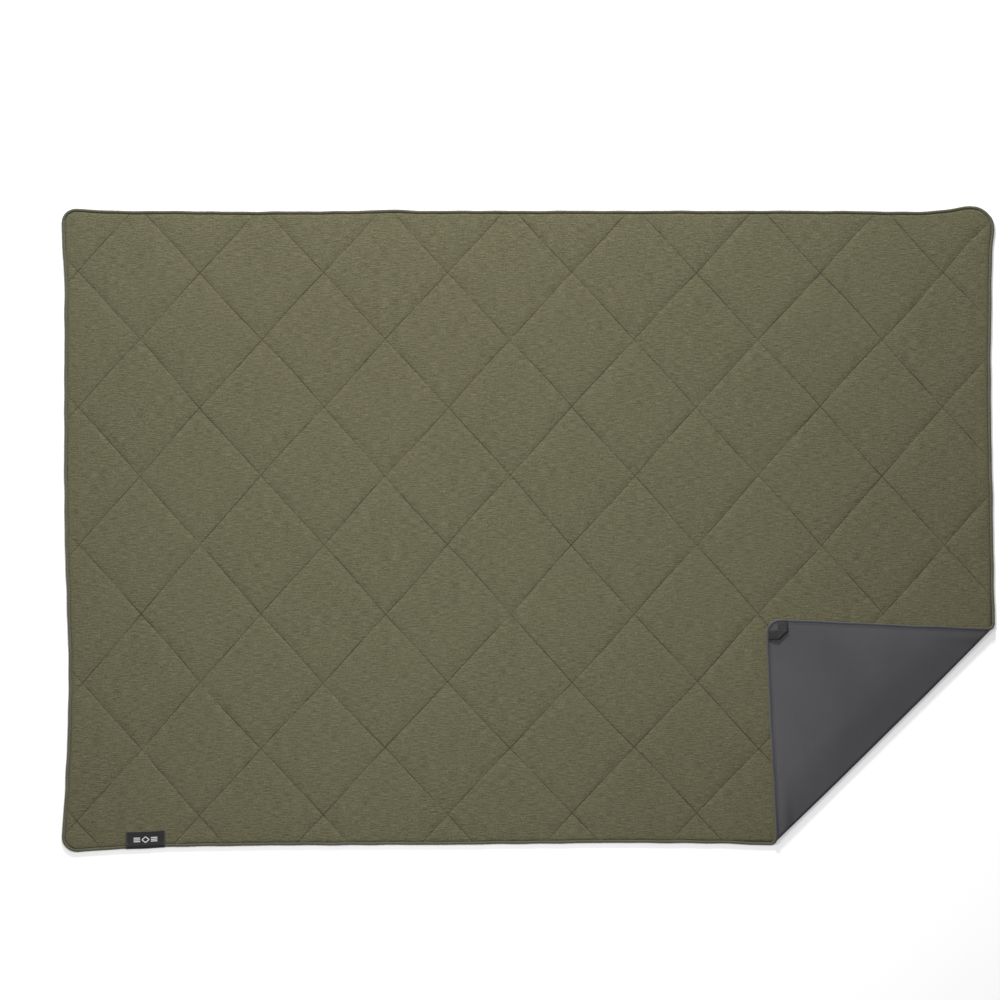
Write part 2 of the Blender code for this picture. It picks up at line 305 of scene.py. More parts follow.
def wrap_fold(x, y, lift, squeeze):
    """The open blanket's points taken round the fold in one smooth bend; lift is from the outside face."""
    beyond, along = fold_distance(x, y), (x + y) / ROOT2
    reach = np.abs(beyond)
    nearness = 1 - ease((reach - NOSE_REACH) / (FOLD_SOFTNESS - NOSE_REACH))
    half_height = FOLD_Z - squeeze * nearness
    turn = np.clip(beyond / NOSE_REACH, -1, 1) * math.pi / 2
    out = np.where(reach < NOSE_REACH, NOSE_BACK + NOSE_LENGTH * np.cos(turn),
                   -reach + (NOSE_REACH + NOSE_BACK) * nearness)
    in_out, in_up = -np.cos(turn) / NOSE_LENGTH, -np.sin(turn) / half_height
    size = np.hypot(in_out, in_up)
    out = out + in_out / size * lift
    z = FOLD_Z + half_height * np.sin(turn) + in_up / size * lift
    across = out + FOLD_LINE / ROOT2
    return (along + across) / ROOT2, (along - across) / ROOT2, z


def turn_over(x, y, z):
    """A point of the open blanket's corner, where it lies when the corner is folded over."""
    return y + FOLD_LINE, x - FOLD_LINE, 2 * FOLD_Z - z


def stations(half, rim, step):
    """Places across the blanket: close together in the rim at both ends, and then evenly spaced."""
    inner = half - rim[-1]
    middle = np.linspace(-inner, inner, round(2 * inner / step) + 1)[1:-1]
    edge = half - np.array(rim)
    return np.concatenate([-edge, middle, edge[::-1]])


def grid_quads(columns, rows):
    """Faces of a grid of points numbered column by column."""
    corner = (np.arange(columns - 1)[:, None] * rows + np.arange(rows - 1)[None, :]).ravel()
    return np.stack([corner, corner + rows, corner + rows + 1, corner + 1], 1)


def cloth_mesh(name, points, faces, pattern):
    """A mesh with its flat pattern, in metres, as the UV map "cloth"."""
    mesh = bpy.data.meshes.new(name)
    mesh.from_pydata(points.tolist(), [], faces.tolist() if hasattr(faces, "tolist") else faces)
    lay = mesh.uv_layers.new(name="cloth")
    corners = np.zeros(len(mesh.loops), np.int32)
    mesh.loops.foreach_get("vertex_index", corners)
    lay.uv.foreach_set("vector", pattern[corners].astype(np.float32).ravel())
    return mesh


def read_points(mesh):
    points = np.zeros(len(mesh.vertices) * 3)
    mesh.vertices.foreach_get("co", points)
    return points.reshape(-1, 3)


def write_points(mesh, points):
    mesh.vertices.foreach_set("co", np.asarray(points, np.float32).ravel())
    mesh.update()


def note_values(mesh, name, values):
    """Stores one number at each point of a mesh, for its material or a later step to read."""
    noted = mesh.attributes.new(name, "FLOAT", "POINT")
    noted.data.foreach_set("value", np.asarray(values, np.float32).ravel())


# insets of the mesh's closer rows at the rim, and distances from the fold where it is cut to bend
BACKING_RIM = (0.0012, 0.0018, 0.0026, 0.0037, 0.0050, 0.0064, 0.0078, 0.0095, 0.0115, 0.014,
               0.0175, 0.022, 0.027, 0.033, 0.040, 0.050, 0.065, 0.085, 0.115, 0.150)
BEND_CUTS = (0, 0.001, 0.002, 0.003, 0.0045, 0.006, 0.008, 0.010, 0.0125, 0.016, 0.020, 0.025, 0.031, 0.038,
             0.048, 0.060, 0.072, 0.085)


def backing_lift(inset):
    """Height of the open backing's outside face: sloping up to the seam, and rolled past it."""
    slope = SEAM_LIFT * np.clip(1 - (inset - SEAM_INSET) / (SLOPE_END - SEAM_INSET), 0, 1) ** 1.25
    under_piping = PIPING_LIFT - ROLL_RADIUS
    share = ease((inset - PIPING_CENTRE) / (SEAM_INSET - PIPING_CENTRE))
    rise = under_piping + (SEAM_LIFT - under_piping) * share
    roll = np.clip(PIPING_CENTRE - inset, 0, None) / ROLL_RADIUS
    return np.where(inset >= SEAM_INSET, slope,
                    np.where(inset >= PIPING_CENTRE, rise, PIPING_LIFT - ROLL_RADIUS * np.cos(roll)))


def fold_squeeze(inset):
    """How far the outside face is pressed in at the fold, on top of its slope up to the seam."""
    pressed = FOLD_SQUEEZE * ease((inset - SQUEEZE_START) / SQUEEZE_WIDTH)
    return np.clip(pressed - backing_lift(np.maximum(inset, SEAM_INSET)), 0, None)


across_x = stations(HALF_LENGTH, BACKING_RIM, BACKING_STEP)
across_y = stations(HALF_WIDTH, BACKING_RIM, BACKING_STEP)
flat_x, flat_y = (side.ravel() for side in np.meshgrid(across_x, across_y, indexing="ij"))
inset = inset_of(flat_x, flat_y)
rolled = PIPING_CENTRE - ROLL_RADIUS * np.sin(np.clip(PIPING_CENTRE - inset, 0, None) / ROLL_RADIUS)
pull = np.where(inset < PIPING_CENTRE, inset - rolled, 0)
open_x, open_y = draw_in(*round_corners(flat_x, flat_y, pull))
gathers = 0.00022 * bell(inset, 0.0125, 0.004) * (1 + sway(flat_x + flat_y, (0.011, 0.017, 0.027), 7))
sheet_points = np.stack([open_x, open_y, backing_lift(inset) + gathers], 1)
backing_mesh = cloth_mesh("backing", sheet_points, grid_quads(len(across_x), len(across_y)),
                          np.stack([flat_x, flat_y], 1))
note_values(backing_mesh, "inset", inset)

edit = bmesh.new()
edit.from_mesh(backing_mesh)
for cut in sorted({side * reach for reach in BEND_CUTS for side in (-1, 1)}):
    bmesh.ops.bisect_plane(edit, geom=edit.verts[:] + edit.edges[:] + edit.faces[:], dist=1e-7,
                           plane_co=((FOLD_LINE + cut * ROOT2), 0, 0), plane_no=(1, -1, 0))
bmesh.ops.reverse_faces(edit, faces=edit.faces[:])
edit.to_mesh(backing_mesh)
edit.free()
inset = np.zeros(len(backing_mesh.vertices), np.float32)
backing_mesh.attributes["inset"].data.foreach_get("value", inset)
points = read_points(backing_mesh)
from_fold = np.abs(fold_distance(*points[:, :2].T))
# a mask for painted shade: 1 at the fold, fading away from it, where the bend falls away from the light
note_values(backing_mesh, "crease", np.exp(-(from_fold / FOLD_SHADE_REACH) ** 1.3))
squeeze = fold_squeeze(inset)
write_points(backing_mesh, np.stack(wrap_fold(*points.T, squeeze), 1))

backing_finish = Finish("coated slate polyester", roughness=0.5, sheen_weight=0.12, sheen_roughness=0.5)
threads = backing_finish.add("ShaderNodeTexChecker", {},
                             {"Vector": backing_finish.cloth(), "Scale": 1100.0}, 1)
crinkle = backing_finish.noise(backing_finish.cloth((1, 1.5, 1), 0.6), 38.0, 3.0, 0.55)
cloudy = backing_finish.noise(backing_finish.cloth(), 5.0, 3.0, 0.6)
fine = backing_finish.noise(backing_finish.cloth(), 420.0, 2.0, 0.6)
worn = backing_finish.stretch(cloudy, 0.3, 0.7, 0, 1)
tone = backing_finish.mix(worn, (0.060, 0.0605, 0.0675, 1), (0.074, 0.0745, 0.083, 1))
tone = backing_finish.mix(backing_finish.stretch(fine, 0.35, 0.65, 0, 0.35), tone, (0.050, 0.050, 0.056, 1))
# painted shade: the backing's colour is darkened towards the fold, standing in for the shade of the bend
painted_fold_shade = backing_finish.add("ShaderNodeAttribute", {"attribute_name": "crease"}, {}, 2)
tone = backing_finish.mix(painted_fold_shade * 0.8, tone, (0.040, 0.040, 0.045, 1))
backing_finish.feed(base_color=tone, roughness=backing_finish.stretch(cloudy, 0.3, 0.7, 0.44, 0.56),
                    normal=backing_finish.bump(threads, 0.00012, 0.25,
                                               backing_finish.bump(crinkle, 0.0010, 0.35)))
backing = put("backing_sheet", backing_mesh, backing_finish)


def set_solid(piece, thickness):
    """Gives a single layer its thickness, behind its own face."""
    wall = piece.modifiers.new("thickness", "SOLIDIFY")
    wall.thickness, wall.offset = thickness, -1
    bpy.context.view_layer.update()
    solid = bpy.data.meshes.new_from_object(piece.evaluated_get(bpy.context.evaluated_depsgraph_get()))
    solid.name = piece.name
    piece.modifiers.clear()
    piece.data = solid


set_solid(backing, BACKING_THICKNESS)
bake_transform(backing)
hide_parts("backing", "backing_corner")


# ---- Stake loops ----
# Black polyester webbing at each corner, turned by one diagonal fold and sewn into the seam at both ends. The
# one on the folded corner stands in a low arch; the others are pressed between the backing and the floor.
WEBBING_WIDTH, WEBBING_THICKNESS = 0.021, 0.0008
LEG_START, LEG_EDGE = 0.0085, 0.0255   # from the blanket's edges: the sewn end, and the webbing's near side
LOOP_ARCH = 0.0037
ARCHED_LEG_START = 0.0050
ARCH_RUN = 0.013               # the arch rises over this much of each leg
HINGE_CLEARANCE = 0.0005
BARTACKS_FROM_EDGE = (0.0125, 0.0145, 0.0165)
WEBBING_LINES = 9

webbing_finish = Finish("black webbing", roughness=0.62, sheen_weight=0.25, sheen_roughness=0.4)
ribs = webbing_finish.add("ShaderNodeTexWave", {"wave_type": "BANDS", "bands_direction": "X"},
                          {"Vector": webbing_finish.cloth(), "Scale": 314.0 / 1.6, "Distortion": 0.6,
                           "Detail": 1.0, "Detail Scale": 40.0}, 1)
fibres = webbing_finish.noise(webbing_finish.cloth((300, 2200, 1)), 1.0, 2.0)
black = webbing_finish.mix(ribs, (0.006, 0.006, 0.007, 1), (0.020, 0.020, 0.023, 1))
worn = webbing_finish.stretch(fibres, 0.4, 0.75, 0, 0.5)
black = webbing_finish.mix(worn, black, (0.036, 0.036, 0.040, 1))
webbing_finish.feed(base_color=black, normal=webbing_finish.bump(ribs + fibres * 0.4, 0.0004, 0.8))
thread_finish = Finish("black thread", base_color=(0.012, 0.012, 0.013, 1), roughness=0.6)


def stitch_tree():
    """Geometry Nodes that lay small stitches end to end along a line."""
    tree = bpy.data.node_groups.new("stitches", "GeometryNodeTree")
    tree.interface.new_socket("Line", in_out="INPUT", socket_type="NodeSocketGeometry")
    tree.interface.new_socket("Spacing", in_out="INPUT", socket_type="NodeSocketFloat")
    tree.interface.new_socket("Length", in_out="INPUT", socket_type="NodeSocketFloat")
    tree.interface.new_socket("Thickness", in_out="INPUT", socket_type="NodeSocketFloat")
    tree.interface.new_socket("Thread", in_out="INPUT", socket_type="NodeSocketMaterial")
    tree.interface.new_socket("Stitches", in_out="OUTPUT", socket_type="NodeSocketGeometry")

    def node(kind, settings=None, links=None):
        made = tree.nodes.new(kind)
        for key, value in (settings or {}).items():
            setattr(made, key, value)
        for key, value in (links or {}).items():
            if isinstance(value, bpy.types.NodeSocket):
                tree.links.new(value, made.inputs[key])
            else:
                made.inputs[key].default_value = value
        return made

    given = node("NodeGroupInput").outputs
    path = node("GeometryNodeMeshToCurve", {}, {"Mesh": given["Line"]}).outputs[0]
    path = node("GeometryNodeResampleCurve", {"mode": "LENGTH"},
                {"Curve": path, "Length": given["Spacing"]}).outputs[0]
    bead = node("GeometryNodeMeshUVSphere", {}, {"Segments": 5, "Rings": 4, "Radius": 0.5}).outputs["Mesh"]
    size = node("ShaderNodeCombineXYZ", {},
                {"X": given["Thickness"], "Y": given["Thickness"], "Z": given["Length"]})
    bead = node("GeometryNodeTransform", {}, {"Geometry": bead, "Scale": size.outputs[0]}).outputs[0]
    lean = node("FunctionNodeRandomValue", {"data_type": "FLOAT_VECTOR"},
                {"Min": (-0.06, -0.06, -0.06), "Max": (0.06, 0.06, 0.06), "Seed": 11}).outputs[0]
    along = node("GeometryNodeInputTangent").outputs[0]
    along = node("ShaderNodeVectorMath", {"operation": "ADD"}, {0: along, 1: lean}).outputs[0]
    turn = node("FunctionNodeAlignRotationToVector", {"axis": "Z"}, {"Vector": along}).outputs[0]
    laid = node("GeometryNodeInstanceOnPoints", {},
                {"Points": path, "Instance": bead, "Rotation": turn}).outputs[0]
    real = node("GeometryNodeRealizeInstances", {}, {"Geometry": laid}).outputs[0]
    real = node("GeometryNodeSetShadeSmooth", {}, {"Geometry": real}).outputs[0]
    painted = node("GeometryNodeSetMaterial", {}, {"Geometry": real, "Material": given["Thread"]}).outputs[0]
    tree.links.new(painted, node("NodeGroupOutput").inputs[0])
    return tree


STITCHES = stitch_tree()


def sew(name, lines, finish, body, slot, spacing=0.0042, length=0.0034, thickness=0.00055):
    """Stitches along lines of points, as one plain mesh that rides on a body."""
    joined = np.concatenate(lines)
    first = np.cumsum([0] + [len(line) for line in lines[:-1]])
    edges = [(a + i, a + i + 1) for a, line in zip(first, lines) for i in range(len(line) - 1)]
    mesh = bpy.data.meshes.new(name)
    mesh.from_pydata(joined.tolist(), edges, [])
    guide = bpy.data.objects.new(name, mesh)
    scene.collection.objects.link(guide)
    lay = guide.modifiers.new("stitches", "NODES")
    lay.node_group = STITCHES
    sizes = {"Spacing": spacing, "Length": length, "Thickness": thickness, "Thread": finish.material}
    for item in STITCHES.interface.items_tree:
        if item.name in sizes:
            lay[item.identifier] = sizes[item.name]
    bpy.context.view_layer.update()
    made = bpy.data.meshes.new_from_object(guide.evaluated_get(bpy.context.evaluated_depsgraph_get()))
    guide.modifiers.clear()
    guide.data = made
    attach(guide, body)
    return guide


def stake_loop(name, side_x, side_y, arch):
    """The corner's webbing, as one strip: in from one edge, round its diagonal fold, and out to the other."""

    def place(u, v, height):
        """u and v are inwards from the corner's two edges; height is down from the open blanket's backing."""
        x, y = side_x * (HALF_LENGTH - u), side_y * (HALF_WIDTH - v)
        lift = backing_lift(inset_of(x, y)) - height
        x, y = draw_in(x, y)
        return turn_over(x, y, lift) if arch else (x, y, lift)

    share = np.linspace(0, 1, WEBBING_LINES)[:, None]
    near, far = LEG_EDGE + WEBBING_WIDTH * share, LEG_EDGE + WEBBING_WIDTH * (1 - share)
    # the arched loop reaches nearer the edge, but is cut back where it would pass its hinge line
    shortest = ARCHED_LEG_START if arch else LEG_START
    cut_back = LEG_EDGE + LEG_START + HINGE_CLEARANCE
    first_start, second_start = (np.maximum(shortest, cut_back - line) if arch else shortest
                                 for line in (near, far))
    run = np.concatenate([np.linspace(0, 0.93, 22), [0.965, 0.99, 1.0]])[None, :]
    bulge = 0.0012 * np.sin(np.clip(run, 0, 1) * math.pi / 2) ** 12
    edge_dip = 0.00012 * (2 * share - 1) ** 4
    rise = arch * ease((far - first_start) * run / ARCH_RUN) * np.ones_like(share)
    lower = WEBBING_THICKNESS + 0.00005 + rise + edge_dip
    u_leg = first_start + (far - first_start) * run + bulge * 0.3
    first_leg = np.stack(place(u_leg, near + 0 * run, lower), -1)
    rise = arch * ease((near - second_start) * run / ARCH_RUN)
    upper = 2 * WEBBING_THICKNESS + 0.00010 + rise + edge_dip
    v_leg = second_start + (near - second_start) * run + bulge * 0.3
    second_leg = np.stack(place(far + 0 * run, v_leg, upper), -1)[:, ::-1]
    strip = np.concatenate([first_leg, second_leg], 1)
    steps = strip.shape[1]
    paces = np.linalg.norm(np.diff(strip[WEBBING_LINES // 2], axis=0), axis=1)
    length = np.concatenate([[0], np.cumsum(paces)])
    pattern = np.stack(np.broadcast_arrays(length[None, :], share * WEBBING_WIDTH), -1)
    faces = grid_quads(WEBBING_LINES, steps)
    if (side_x * side_y > 0) != bool(arch):
        faces = faces[:, ::-1]
    mesh = cloth_mesh(name + "_webbing", strip.reshape(-1, 3), faces, pattern.reshape(-1, 2))
    piece = put(name + "_webbing", mesh, webbing_finish)
    set_solid(piece, WEBBING_THICKNESS)
    body = name.replace("stake_", "")
    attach(piece, body)
    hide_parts(name)
    rows = []
    for distance in BARTACKS_FROM_EDGE:
        side = np.linspace(LEG_EDGE + 0.0015, LEG_EDGE + WEBBING_WIDTH - 0.0015, 24)
        low_rise = arch * ease((distance - shortest) / ARCH_RUN) + 0.0001
        rows.append(np.stack(place(distance + 0 * side, side, WEBBING_THICKNESS + low_rise), -1))
        rows.append(np.stack(place(side, distance + 0 * side, 2 * WEBBING_THICKNESS + low_rise), -1))
    sew("bartacks_" + name, rows, thread_finish, body, "webbing", 0.0012, 0.0015, 0.0004)


stake_loop("stake_loop_back_left", -1, 1, 0)
stake_loop("stake_loop_back_right", 1, 1, 0)
stake_loop("stake_loop_front_left", -1, -1, 0)
stake_loop("stake_loop_front_right", 1, -1, LOOP_ARCH)


# ---- Quilt: cover, batting and lining ----
# Olive woven polyester over polyester batting and a thin lining, sewn through in large diamonds and then into
# the edge seam. One padded piece for each side of the fold, pressed thin where the two meet.
DIAMOND_HALF_X, DIAMOND_HALF_Y = 0.1319, 0.149
CROSSING_X, CROSSING_Y = -0.9603, 0.5612
CELLS = 40                     # grid cells along half a diamond: every quilting line follows grid corners
CROWN, QUILTING_DEPTH = 0.0083, 0.0039
COVER_AT_SEAM, UNDERSIDE = 0.0040, 0.0012
LINE_PITCH = DIAMOND_HALF_X * DIAMOND_HALF_Y / math.hypot(DIAMOND_HALF_X, DIAMOND_HALF_Y)
UNDER_STEP = 14                # rows of the top for one row of the underside
UNDER_CLEARANCE = 0.0007       # from the underside to the backing's outside face
UNDER_LIMIT = 0.0030           # everything lower than this is the underside
UNDER_CUTS = (0.003, 0.005, 0.008, 0.014, 0.022, 0.032, 0.044, 0.058, 0.072, 0.085)
CUT_BACK = 0.0015               # the padding ends this far short of the fold
QUILT_RIM = (0.0071, 0.0076, 0.0084, 0.0094, 0.0104, 0.0118, 0.0136, 0.0160)


def quilting(x, y):
    """For each family of quilting lines: distance from the nearest, side, place along it, and its number."""
    across, up = (x - CROSSING_X) / DIAMOND_HALF_X, (y - CROSSING_Y) / DIAMOND_HALF_Y
    found = []
    for lean in (1, -1):
        value = across + lean * up
        number = 2 * np.round(value / 2)
        offset = (value - number) * LINE_PITCH
        along = (x * DIAMOND_HALF_X - lean * y * DIAMOND_HALF_Y) / math.hypot(DIAMOND_HALF_X, DIAMOND_HALF_Y)
        found.append((offset, along, number + 0.37 * lean))
    return found


def pucker(offset, along, number):
    """Small gathers that the thread pulls into the cloth on both sides of a quilting line."""
    distance = np.abs(offset)
    place = along + 0.35 * offset + number * 0.713
    waves = sway(place, (0.0125, 0.0165, 0.023), 21) + 0.5 * sway(place, (0.034, 0.051), 22)
    strength = 0.6 + 0.4 * sway(place, (0.11, 0.19), 23)
    return waves * strength * ease(distance / 0.004) * np.exp(-distance / 0.012)


def lean_of_line(offset, along, number):
    """One side of a quilting line stands a little higher than the other, and that changes along it."""
    change = sway(along + number * 0.37, (0.23, 0.41, 0.155), 24)
    return np.sign(offset) * np.exp(-np.abs(offset) / 0.020) * change


def cover_height(x, y):
    """The cover's height when the blanket is open: puffed between the lines, and rolled down to the seam."""
    inset = inset_of(x, y)
    past = np.clip(inset - SEAM_INSET, 0, None)
    shoulder = COVER_AT_SEAM + 0.0021 * np.sqrt(1 - (1 - np.clip(past / 0.006, 0, 1)) ** 2)
    edge = shoulder + (CROWN - COVER_AT_SEAM - 0.0021) * (1 - np.exp(-np.clip(past - 0.004, 0, None) / 0.022))
    keep, gather = 1.0, 0.0
    for offset, along, number in quilting(x, y):
        distance = np.abs(offset)
        pulled = 0.86 + 0.14 * sway(along + number * 0.59, (0.19, 0.33), 25)
        crease = 0.74 * np.exp(-distance / 0.0075) + 0.24 * np.exp(-(distance / 0.032) ** 2)
        keep = keep * (1 - pulled * crease)
        gather = gather + pucker(offset, along, number) + 0.55 * lean_of_line(offset, along, number)
    away = 0.25 + 0.75 * ease((inset - SEAM_INSET) / 0.03)
    slow = 0.00022 * (sway(x + 0.3 * y, (0.13, 0.21), 31) + sway(y - 0.2 * x, (0.11, 0.17), 32))
    rim_gather = 0.00022 * sway(x + y, (0.013, 0.019, 0.029), 33) * bell(inset, 0.015, 0.008)
    ends = 0.0007 * sum(bell(np.hypot(x - ex, y - ey), 0, 0.035) * sway(x + y, (0.015, 0.022), 34)
                        for ex, ey in ((0.50, -0.645), (0.935, -0.185)))
    beyond = np.abs(fold_distance(*draw_in(x, y)))
    near = 1 - ease((beyond - NOSE_REACH) / (FOLD_SOFTNESS - NOSE_REACH))
    pressed = near * ease((inset - SEAM_INSET) / 0.03)
    away = away * (1 - 0.85 * pressed)
    height = edge - QUILTING_DEPTH * (1 - keep) * away + 0.00090 * gather * away
    height = height + (slow + rim_gather) * away + ends
    return np.clip(height, COVER_AT_SEAM, FOLD_Z - 0.00012)


def quilt_stations(half, crossing, spacing):
    edges = half - np.array(QUILT_RIM)
    first = math.ceil((-half - crossing) / spacing)
    regular = crossing + spacing * np.arange(first, first + int(2 * half / spacing) + 2)
    regular = regular[np.abs(regular) < edges[-1] - 0.0012]
    return np.concatenate([-edges, regular, edges[::-1]])


across_x = quilt_stations(HALF_LENGTH, CROSSING_X, DIAMOND_HALF_X / CELLS)
across_y = quilt_stations(HALF_WIDTH, CROSSING_Y, DIAMOND_HALF_Y / CELLS)
columns, rows = len(across_x), len(across_y)
flat_x, flat_y = (side.ravel() for side in np.meshgrid(across_x, across_y, indexing="ij"))
open_x, open_y = draw_in(*round_corners(flat_x, flat_y))
top = np.stack([open_x, open_y, cover_height(flat_x, flat_y)], 1)
quads = grid_quads(columns, rows)
(offset_a, _, _), (offset_b, _, _) = quilting(flat_x[quads].mean(1), flat_y[quads].mean(1))
falling = (np.abs(offset_a) < np.abs(offset_b))[:, None]
triangles = np.concatenate([np.where(falling, quads[:, [0, 1, 3]], quads[:, [0, 1, 2]]),
                            np.where(falling, quads[:, [1, 2, 3]], quads[:, [0, 2, 3]])])
# the underside keeps every column of the top and one row in UNDER_STEP
under_rows = [0, *range(6, rows - 6, UNDER_STEP), rows - 1]
levels = len(under_rows)
under = np.arange(columns)[:, None] * rows + np.array(under_rows)[None, :]
under_points = top[under.ravel()].copy()
under_inset = inset_of(flat_x, flat_y)[under.ravel()]
above_backing = backing_lift(np.maximum(under_inset, SEAM_INSET)) + UNDER_CLEARANCE
under_points[:, 2] = np.maximum(UNDERSIDE, above_backing)
count, last = len(top), (columns - 1) * rows
under_faces = [(count + levels * c + r, count + levels * c + r + 1, count + levels * (c + 1) + r + 1,
                count + levels * (c + 1) + r) for c in range(columns - 1) for r in range(levels - 1)]
side_faces = []
for c in range(columns - 1):
    near, beside = count + levels * c, count + levels * (c + 1)
    side_faces.append((c * rows, near, beside, (c + 1) * rows))
    side_faces.append(((c + 2) * rows - 1, beside + levels - 1, near + levels - 1, (c + 1) * rows - 1))
for r in range(levels - 1):
    edge_rows = range(under_rows[r], under_rows[r + 1] + 1)
    side_faces.append((count + r + 1, count + r) + tuple(edge_rows))
    far_end = count + levels * (columns - 1) + r
    side_faces.append((far_end, far_end + 1) + tuple(last + j for j in reversed(edge_rows)))
pattern = np.concatenate([np.stack([flat_x, flat_y], 1), np.stack([flat_x, flat_y], 1)[under.ravel()]])
shell = cloth_mesh("quilt", np.concatenate([top, under_points]),
                   triangles.tolist() + under_faces + side_faces, pattern)
(offset_a, _, _), (offset_b, _, _) = quilting(*pattern.T)
note_values(shell, "from_line", np.minimum(np.abs(offset_a), np.abs(offset_b)))


def cut_at_fold(mesh, name, keep_corner):
    """The part of the open shell on one side of the fold, closed again along the cut."""
    side = 1 if keep_corner else -1
    edit = bmesh.new()
    edit.from_mesh(mesh)
    found = bmesh.ops.bisect_plane(edit, geom=edit.verts[:] + edit.edges[:] + edit.faces[:], dist=1e-6,
                                   plane_co=(FOLD_LINE + side * CUT_BACK * ROOT2, 0, 0),
                                   plane_no=(-side, side, 0), clear_outer=True)
    cut = [item for item in found["geom_cut"] if isinstance(item, bmesh.types.BMEdge)]
    bmesh.ops.contextual_create(edit, geom=cut)
    for reach in UNDER_CUTS:
        under = [face for face in edit.faces if max(v.co.z for v in face.verts) < UNDER_LIMIT]
        parts = {item for face in under for item in (*face.verts, *face.edges, face)}
        bmesh.ops.bisect_plane(edit, geom=list(parts), dist=1e-6, plane_no=(1, -1, 0),
                               plane_co=(FOLD_LINE + side * reach * ROOT2, 0, 0))
    for vert in edit.verts:
        if vert.co.z < UNDER_LIMIT:
            reach = abs(float(fold_distance(vert.co.x, vert.co.y)))
            near = 1 - float(ease((reach - NOSE_REACH) / (FOLD_SOFTNESS - NOSE_REACH)))
            pressed = float(fold_squeeze(inset_of(vert.co.x, vert.co.y))) * near
            bend = min(max(-NOSE_BACK - reach, 0) / NOSE_LENGTH, 1)
            vert.co.z += pressed + (FOLD_Z - pressed) * (1 - math.sqrt(1 - bend * bend))
    part = bpy.data.meshes.new(name)
    edit.to_mesh(part)
    edit.free()
    return part


cover_finish = Finish("olive woven polyester", roughness=0.86, specular_ior_level=0.25, sheen_weight=0.06,
                      sheen_roughness=0.5)
from_line = cover_finish.add("ShaderNodeAttribute", {"attribute_name": "from_line"}, {}, 2)
long_slubs = cover_finish.noise(cover_finish.cloth((48, 520, 1)), 1.0, 2.0, 0.55)
short_slubs = cover_finish.noise(cover_finish.cloth((150, 900, 1)), 1.0, 2.0, 0.6)
weft = cover_finish.add("ShaderNodeTexWave", {"wave_type": "BANDS", "bands_direction": "Y"},
                        {"Vector": cover_finish.cloth(), "Scale": 314.0, "Distortion": 1.2, "Detail": 1.0,
                         "Detail Scale": 30.0}, 1)
grain = cover_finish.noise(cover_finish.cloth((1, 1.6, 1)), 620.0, 1.0, 0.6)
cloudy = cover_finish.noise(cover_finish.cloth(), 3.2, 3.0, 0.6)
speckle = cover_finish.noise(cover_finish.cloth((1, 1.5, 1)), 300.0, 1.0, 0.5)
slub = cover_finish.stretch(long_slubs * 0.40 + short_slubs * 0.32 + speckle * 0.28, 0.41, 0.59, 0, 1)
olive = cover_finish.mix(slub, (0.084, 0.080, 0.042, 1), (0.204, 0.194, 0.110, 1))
olive = cover_finish.mix(cover_finish.stretch(grain, 0.3, 0.7, 0, 0.3), olive, (0.090, 0.083, 0.047, 1))
olive = cover_finish.mix(cover_finish.stretch(cloudy, 0.3, 0.7, 0, 0.16), olive, (0.175, 0.160, 0.096, 1))
uneven = cover_finish.stretch(cover_finish.noise(cover_finish.cloth(), 14.0, 2.0), 0.35, 0.65, 0.2, 1)
# painted shade along each quilting line, where its valley falls dark, together with the thread's own darker
# colour; noise makes it uneven
line_shade = cover_finish.stretch(from_line, 0.0003, 0.0014, 0.95, 0)
olive = cover_finish.mix(line_shade * uneven, olive, (0.020, 0.019, 0.010, 1))
cover_finish.feed(base_color=olive, roughness=cover_finish.stretch(slub, 0, 1, 0.9, 0.8),
                  normal=cover_finish.bump(weft * 0.6 + grain * 0.6, 0.0004, 0.5,
                                           cover_finish.bump(slub, 0.0009, 0.55)))
quilting_thread = Finish("olive thread", base_color=(0.060, 0.057, 0.032, 1), roughness=0.7)

quilt = put("quilt", cut_at_fold(shell, "quilt", False), cover_finish)
quilt_corner = put("quilt_corner", cut_at_fold(shell, "quilt_corner", True), cover_finish)
write_points(quilt_corner.data, np.stack(turn_over(*read_points(quilt_corner.data).T), 1))
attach(quilt, "blanket")
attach(quilt_corner, "corner")
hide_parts("top_cover", "batting", "quilt_lining")
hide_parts("top_cover_corner", "batting_corner", "quilt_lining_corner")

stay_lines, turned_lines = [], []
for lean in (1, -1):
    for number in range(-24, 40, 2):
        # across + lean * up = number, followed one grid cell at a time
        across = np.arange(-8, 24, 1 / CELLS)
        x = CROSSING_X + across * DIAMOND_HALF_X
        y = CROSSING_Y + lean * (number - across) * DIAMOND_HALF_Y
        on_cloth = inset_of(x, y) > 0.0088
        x, y = x[on_cloth], y[on_cloth]
        if len(x) < 3:
            continue
        z = cover_height(x, y) + 0.00012
        x, y = draw_in(x, y)
        beyond = fold_distance(x, y)
        for part, lines in ((beyond < -0.002, stay_lines), (beyond > 0.002, turned_lines)):
            if part.sum() > 2:
                line = np.stack([x[part], y[part], z[part]])
                lines.append(np.stack(line if lines is stay_lines else turn_over(*line), 1))
sew("quilting", stay_lines, quilting_thread, "blanket", "cover_fabric")
sew("quilting_corner", turned_lines, quilting_thread, "corner", "cover_fabric")


# ---- Piping ----
# An olive strip of the cover's fabric round a soft filler cord, sewn into the edge seam all round. It turns
# over with the corner, in one tight bend at each end of the fold.
PIPING_SIDES, PIPING_STEP = 12, 0.0026
GATHER = 0.00012

